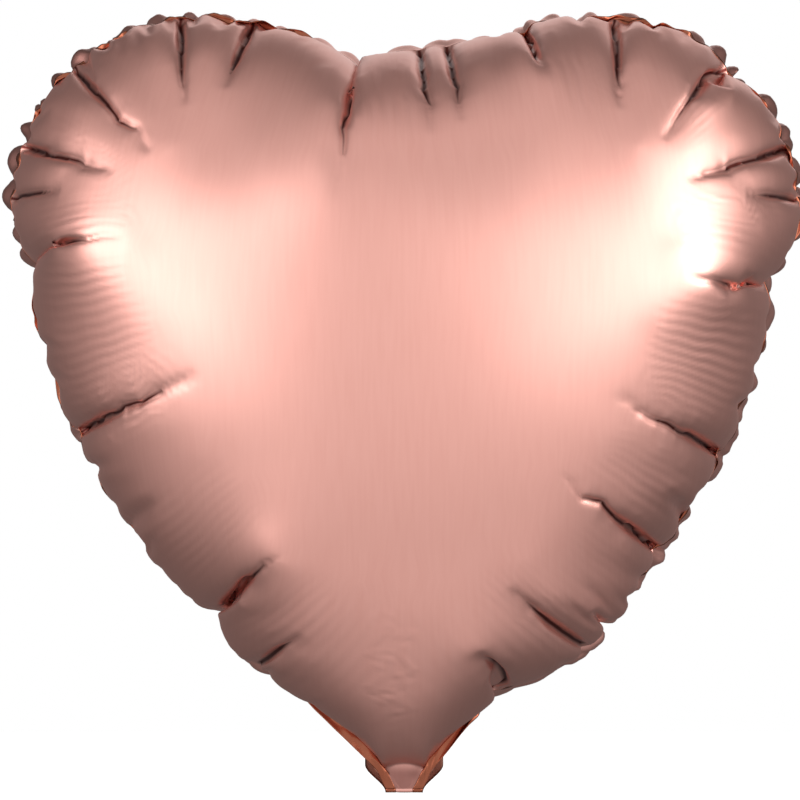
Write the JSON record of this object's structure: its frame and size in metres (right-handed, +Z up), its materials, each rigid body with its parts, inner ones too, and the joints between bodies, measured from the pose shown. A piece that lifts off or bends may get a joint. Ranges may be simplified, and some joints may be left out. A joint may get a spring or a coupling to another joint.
{
  "type": "heart-shaped foil balloon",
  "caption": "Inflated heart-shaped foil balloon with a welded edge, self-sealing valve and a film tail folded up behind it.",
  "frame": {"origin": "middle of the fold line at the throat, where the tail leaves the body and where the balloon is tied or held", "axes": "+Z up through the heart from the throat to the cleft, -Y out of the front of the heart, +X to the right of someone facing the front"},
  "size_m": [0.38, 0.222, 0.382],
  "materials": {
    "satin_foil": "satin metallised film, rose copper",
    "welded_foil": "glossy metallised film, copper",
    "valve_film": "clear thin film"
  },
  "bodies": {
    "balloon": {"front_panel": "satin_foil", "back_panel": "satin_foil", "edge_seal": "welded_foil", "throat_weld_front": "valve_film", "throat_weld_back": "valve_film"},
    "tail": {"tail_front_film": "satin_foil", "tail_back_film": "satin_foil", "tail_seal_left": "welded_foil", "tail_seal_right": "welded_foil", "inlet_front_film": "valve_film", "inlet_back_film": "valve_film"},
    "valve_front": {"valve_front_film": "valve_film", "valve_seal_left": "valve_film", "valve_seal_right": "valve_film"},
    "valve_back": {"valve_back_film": "valve_film"}
  },
  "joints": [
    {"name": "tail_fold", "type": "hinge", "parent": "balloon", "child": "tail", "pos_m": [0, 0, 0], "axis": [1, 0, 0], "range_deg": [-232, 0]},
    {"name": "valve_front_open", "type": "hinge", "parent": "balloon", "child": "valve_front", "pos_m": [0, -0.0007, 0.006], "axis": [1, 0, 0], "range_deg": [0, 6], "stiffness_Nm_per_rad": 0.0005},
    {"name": "valve_back_open", "type": "hinge", "parent": "balloon", "child": "valve_back", "pos_m": [0, 0.0007, 0.006], "axis": [1, 0, 0], "range_deg": [-6, 0], "stiffness_Nm_per_rad": 0.0005}
  ],
  "couplings": [
    {"joint": "valve_back_open", "follows": "valve_front_open", "ratio": -1}
  ]
}
